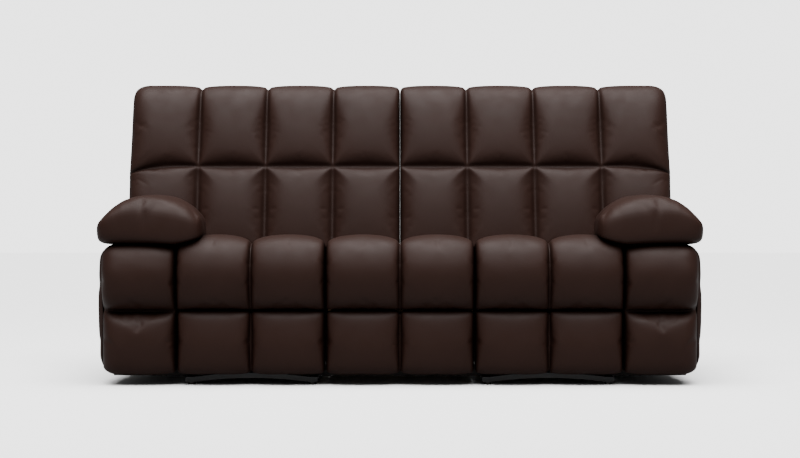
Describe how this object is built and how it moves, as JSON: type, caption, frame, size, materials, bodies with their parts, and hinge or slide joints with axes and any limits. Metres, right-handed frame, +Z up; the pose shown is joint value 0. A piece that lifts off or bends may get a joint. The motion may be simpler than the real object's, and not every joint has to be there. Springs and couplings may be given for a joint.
{
  "type": "reclining sofa",
  "caption": "Tufted leather reclining sofa with pillow-top arms, split backs that recline, and footrests on crossing links behind the front panels.",
  "frame": {"origin": "on the floor under the middle of the sofa's bounding box", "axes": "+X to the viewer's right when facing the sofa, +Y to its back, +Z up"},
  "size_m": [2.112, 0.9388, 1.0917],
  "materials": {
    "leather": "smooth semi-matte dark chocolate leather",
    "rear_leather": "smooth dark chocolate upholstery cover",
    "timber": "sawn hardwood and plywood",
    "black_steel": "black powder coat",
    "webbing": "woven elastic webbing",
    "plastic": "matte dark brown-black moulding"
  },
  "bodies": {
    "root": {"base_glides": "plastic", "cross_rails": "timber", "rear_board": "rear_leather", "centre_frame": "timber", "centre_webbing": "webbing", "centre_seat_cushion": "leather", "centre_front_panel": "leather", "right_mechanism_base": "black_steel", "right_arm_frame": "timber", "right_arm_front_panel": "leather", "right_arm_side_panel": "rear_leather", "right_arm_pad": "leather", "right_handle_bezel": "plastic", "left_mechanism_base": "black_steel", "left_arm_frame": "timber", "left_arm_front_panel": "leather", "left_arm_side_panel": "rear_leather", "left_arm_pad": "leather", "left_handle_bezel": "plastic"},
    "right_seat": {"right_carriage_plates": "black_steel", "right_seat_frame": "timber", "right_seat_webbing": "webbing", "right_seat_cushion": "leather"},
    "right_back": {"right_back_brackets": "black_steel", "right_back_frame": "timber", "right_back_webbing": "webbing", "right_back_rear_panel": "rear_leather", "right_back_cushion": "leather"},
    "right_link_b1": {"right_footrest_link_b1": "black_steel"},
    "right_link_a1": {"right_footrest_link_a1": "black_steel", "right_footrest_drive_tube": "black_steel"},
    "right_link_b2": {"right_footrest_link_b2": "black_steel"},
    "right_link_a2": {"right_footrest_link_a2": "black_steel"},
    "right_link_b3": {"right_footrest_link_b3": "black_steel"},
    "right_link_a3": {"right_footrest_link_a3": "black_steel"},
    "right_end_link": {"right_footrest_end_link": "black_steel"},
    "right_footrest": {"right_footrest_board": "timber", "right_footrest_pad": "leather"},
    "right_handle": {"right_release_handle": "plastic"},
    "left_seat": {"left_carriage_plates": "black_steel", "left_seat_frame": "timber", "left_seat_webbing": "webbing", "left_seat_cushion": "leather"},
    "left_back": {"left_back_brackets": "black_steel", "left_back_frame": "timber", "left_back_webbing": "webbing", "left_back_rear_panel": "rear_leather", "left_back_cushion": "leather"},
    "left_link_b1": {"left_footrest_link_b1": "black_steel"},
    "left_link_a1": {"left_footrest_link_a1": "black_steel", "left_footrest_drive_tube": "black_steel"},
    "left_link_b2": {"left_footrest_link_b2": "black_steel"},
    "left_link_a2": {"left_footrest_link_a2": "black_steel"},
    "left_link_b3": {"left_footrest_link_b3": "black_steel"},
    "left_link_a3": {"left_footrest_link_a3": "black_steel"},
    "left_end_link": {"left_footrest_end_link": "black_steel"},
    "left_footrest": {"left_footrest_board": "timber", "left_footrest_pad": "leather"},
    "left_handle": {"left_release_handle": "plastic"}
  },
  "joints": [
    {"name": "right_recline", "type": "hinge", "parent": "right_seat", "child": "right_back", "pos_m": [0.51, 0.1841, 0.3], "axis": [-1, 0, 0], "range_deg": [0, 30]},
    {"name": "right_seat_glide", "type": "slide", "parent": "root", "child": "right_seat", "axis": [0, -1, 0], "range_m": [0, 0.06]},
    {"name": "right_footrest_extend", "type": "hinge", "parent": "right_seat", "child": "right_link_b1", "pos_m": [0.51, -0.1989, 0.08], "axis": [1, 0, 0], "range_deg": [0, 48]},
    {"name": "right_a1_pivot", "type": "hinge", "parent": "right_link_b1", "child": "right_link_a1", "pos_m": [0.51, -0.21449, 0.15336], "axis": [-1, 0, 0], "range_deg": [0, 138.01]},
    {"name": "right_b2_pivot", "type": "hinge", "parent": "right_link_a1", "child": "right_link_b2", "pos_m": [0.51, -0.23009, 0.08], "axis": [1, 0, 0], "range_deg": [0, 138.01]},
    {"name": "right_a2_pivot", "type": "hinge", "parent": "right_link_b1", "child": "right_link_a2", "pos_m": [0.51, -0.23009, 0.22672], "axis": [-1, 0, 0], "range_deg": [0, 138.01]},
    {"name": "right_b3_pivot", "type": "hinge", "parent": "right_link_a2", "child": "right_link_b3", "pos_m": [0.51, -0.26127, 0.08], "axis": [1, 0, 0], "range_deg": [0, 138.01]},
    {"name": "right_a3_pivot", "type": "hinge", "parent": "right_link_b2", "child": "right_link_a3", "pos_m": [0.51, -0.26127, 0.22672], "axis": [-1, 0, 0], "range_deg": [0, 138.01]},
    {"name": "right_end_pivot", "type": "hinge", "parent": "right_link_a3", "child": "right_end_link", "pos_m": [0.51, -0.29246, 0.08], "axis": [1, 0, 0], "range_deg": [0, 138.01]},
    {"name": "right_footrest_pivot", "type": "hinge", "parent": "right_link_b3", "child": "right_footrest", "pos_m": [0.51, -0.29246, 0.22672], "axis": [-1, 0, 0], "range_deg": [0, 138.01]},
    {"name": "right_release", "type": "hinge", "parent": "root", "child": "right_handle", "pos_m": [1.017, -0.1159, 0.42188], "axis": [0, -1, 0], "range_deg": [0, 35], "stiffness_Nm_per_rad": 0.6},
    {"name": "left_recline", "type": "hinge", "parent": "left_seat", "child": "left_back", "pos_m": [-0.51, 0.1841, 0.3], "axis": [-1, 0, 0], "range_deg": [0, 30]},
    {"name": "left_seat_glide", "type": "slide", "parent": "root", "child": "left_seat", "axis": [0, -1, 0], "range_m": [0, 0.06]},
    {"name": "left_footrest_extend", "type": "hinge", "parent": "left_seat", "child": "left_link_b1", "pos_m": [-0.51, -0.1989, 0.08], "axis": [1, 0, 0], "range_deg": [0, 48]},
    {"name": "left_a1_pivot", "type": "hinge", "parent": "left_link_b1", "child": "left_link_a1", "pos_m": [-0.51, -0.21449, 0.15336], "axis": [-1, 0, 0], "range_deg": [0, 138.01]},
    {"name": "left_b2_pivot", "type": "hinge", "parent": "left_link_a1", "child": "left_link_b2", "pos_m": [-0.51, -0.23009, 0.08], "axis": [1, 0, 0], "range_deg": [0, 138.01]},
    {"name": "left_a2_pivot", "type": "hinge", "parent": "left_link_b1", "child": "left_link_a2", "pos_m": [-0.51, -0.23009, 0.22672], "axis": [-1, 0, 0], "range_deg": [0, 138.01]},
    {"name": "left_b3_pivot", "type": "hinge", "parent": "left_link_a2", "child": "left_link_b3", "pos_m": [-0.51, -0.26127, 0.08], "axis": [1, 0, 0], "range_deg": [0, 138.01]},
    {"name": "left_a3_pivot", "type": "hinge", "parent": "left_link_b2", "child": "left_link_a3", "pos_m": [-0.51, -0.26127, 0.22672], "axis": [-1, 0, 0], "range_deg": [0, 138.01]},
    {"name": "left_end_pivot", "type": "hinge", "parent": "left_link_a3", "child": "left_end_link", "pos_m": [-0.51, -0.29246, 0.08], "axis": [1, 0, 0], "range_deg": [0, 138.01]},
    {"name": "left_footrest_pivot", "type": "hinge", "parent": "left_link_b3", "child": "left_footrest", "pos_m": [-0.51, -0.29246, 0.22672], "axis": [-1, 0, 0], "range_deg": [0, 138.01]},
    {"name": "left_release", "type": "hinge", "parent": "root", "child": "left_handle", "pos_m": [-1.017, -0.1159, 0.42188], "axis": [0, 1, 0], "range_deg": [0, 35], "stiffness_Nm_per_rad": 0.6}
  ],
  "couplings": [
    {"joint": "right_seat_glide", "follows": "right_recline", "m_per_rad": 0.11459},
    {"joint": "right_a1_pivot", "follows": "right_footrest_extend", "ratio": 2.875},
    {"joint": "right_b2_pivot", "follows": "right_footrest_extend", "ratio": 2.875},
    {"joint": "right_a2_pivot", "follows": "right_footrest_extend", "ratio": 2.875},
    {"joint": "right_b3_pivot", "follows": "right_footrest_extend", "ratio": 2.875},
    {"joint": "right_a3_pivot", "follows": "right_footrest_extend", "ratio": 2.875},
    {"joint": "right_end_pivot", "follows": "right_footrest_extend", "ratio": 2.875},
    {"joint": "right_footrest_pivot", "follows": "right_footrest_extend", "ratio": 2.875},
    {"joint": "left_seat_glide", "follows": "left_recline", "m_per_rad": 0.11459},
    {"joint": "left_a1_pivot", "follows": "left_footrest_extend", "ratio": 2.875},
    {"joint": "left_b2_pivot", "follows": "left_footrest_extend", "ratio": 2.875},
    {"joint": "left_a2_pivot", "follows": "left_footrest_extend", "ratio": 2.875},
    {"joint": "left_b3_pivot", "follows": "left_footrest_extend", "ratio": 2.875},
    {"joint": "left_a3_pivot", "follows": "left_footrest_extend", "ratio": 2.875},
    {"joint": "left_end_pivot", "follows": "left_footrest_extend", "ratio": 2.875},
    {"joint": "left_footrest_pivot", "follows": "left_footrest_extend", "ratio": 2.875}
  ]
}
